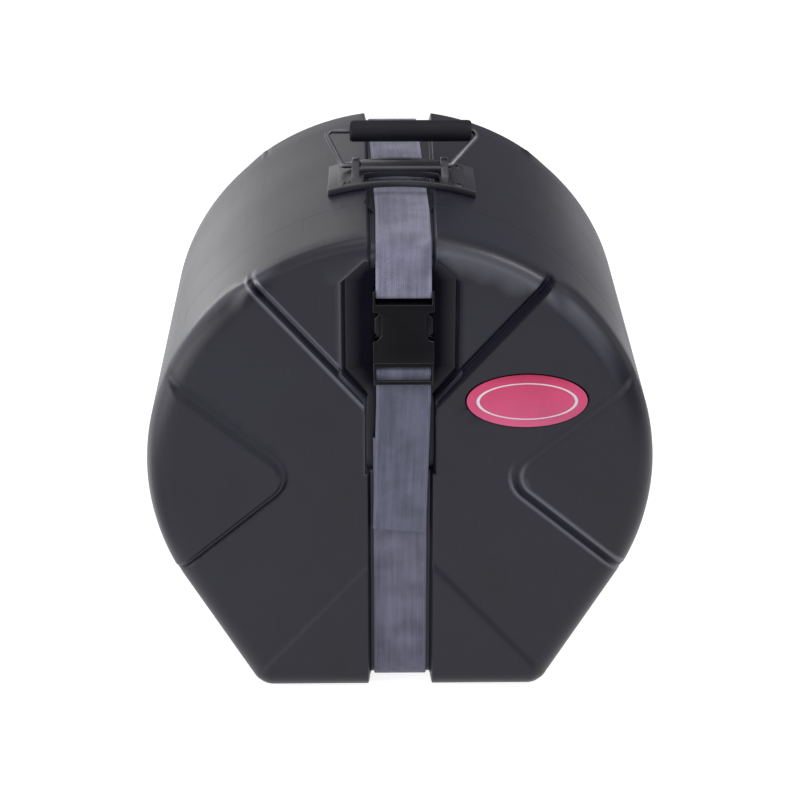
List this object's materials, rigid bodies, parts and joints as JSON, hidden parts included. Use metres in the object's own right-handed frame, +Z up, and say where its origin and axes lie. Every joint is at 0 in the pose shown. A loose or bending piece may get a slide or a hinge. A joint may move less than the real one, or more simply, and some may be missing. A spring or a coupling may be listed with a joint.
{
  "type": "drum case",
  "caption": "Moulded round drum case with a flat foot, a pull-off end lid, a webbing strap with a side-release buckle and a folding top handle.",
  "frame": {"origin": "under the middle of the case, on the plane of its flat foot", "axes": "+Z up, +Y from the lid to the rear end, +X to the right as seen from the lid"},
  "size_m": [0.48, 0.39, 0.5165],
  "materials": {
    "shell_plastic": "moulded, fine grain",
    "foam": "open cell foam",
    "webbing": "woven",
    "buckle_plastic": "satin",
    "badge_enamel": "gloss, raised ring",
    "handle_plastic": "satin",
    "grip_rubber": "satin",
    "steel": "bright"
  },
  "bodies": {
    "body": {"body_shell": "shell_plastic", "body_end_pad": "foam", "body_side_pad": "foam", "strap_body_run": "webbing", "handle_base": "handle_plastic", "handle_bolt_left_front": "steel", "handle_bolt_left_back": "steel", "handle_bolt_right_front": "steel", "handle_bolt_right_back": "steel", "handle_nut_left_front": "steel", "handle_nut_left_back": "steel", "handle_nut_right_front": "steel", "handle_nut_right_back": "steel", "handle_plate_left": "steel", "handle_plate_right": "steel"},
    "lid": {"lid_shell": "shell_plastic", "lid_end_pad": "foam", "lid_side_pad": "foam", "badge_plate": "badge_enamel", "strap_upper_run": "webbing", "strap_lower_run": "webbing", "buckle_housing": "buckle_plastic"},
    "insert": {"buckle_insert": "buckle_plastic", "strap_tail": "webbing"},
    "prong_left": {"buckle_prong_left": "buckle_plastic"},
    "prong_right": {"buckle_prong_right": "buckle_plastic"},
    "bail": {"handle_bail": "steel", "handle_grip": "grip_rubber"}
  },
  "joints": [
    {"name": "lid_pull", "type": "slide", "parent": "body", "child": "lid", "axis": [0, -1, 0], "range_m": [0, 0.25]},
    {"name": "buckle_release", "type": "slide", "parent": "lid", "child": "insert", "axis": [0, 0, -1], "range_m": [0, 0.052]},
    {"name": "prong_squeeze_left", "type": "hinge", "parent": "insert", "child": "prong_left", "pos_m": [-0.0165, -0.1855, 0.3565], "axis": [0, 1, 0], "range_deg": [0, 7], "stiffness_Nm_per_rad": 0.5},
    {"name": "prong_squeeze_right", "type": "hinge", "parent": "insert", "child": "prong_right", "pos_m": [0.0225, -0.1855, 0.3565], "axis": [0, -1, 0], "range_deg": [0, 7], "stiffness_Nm_per_rad": 0.5},
    {"name": "bail_fold", "type": "hinge", "parent": "body", "child": "bail", "pos_m": [-0.0016, -0.012, 0.482], "axis": [1, 0, 0], "range_deg": [-25, 124]}
  ],
  "couplings": [
    {"joint": "prong_squeeze_right", "follows": "prong_squeeze_left", "ratio": 1}
  ]
}
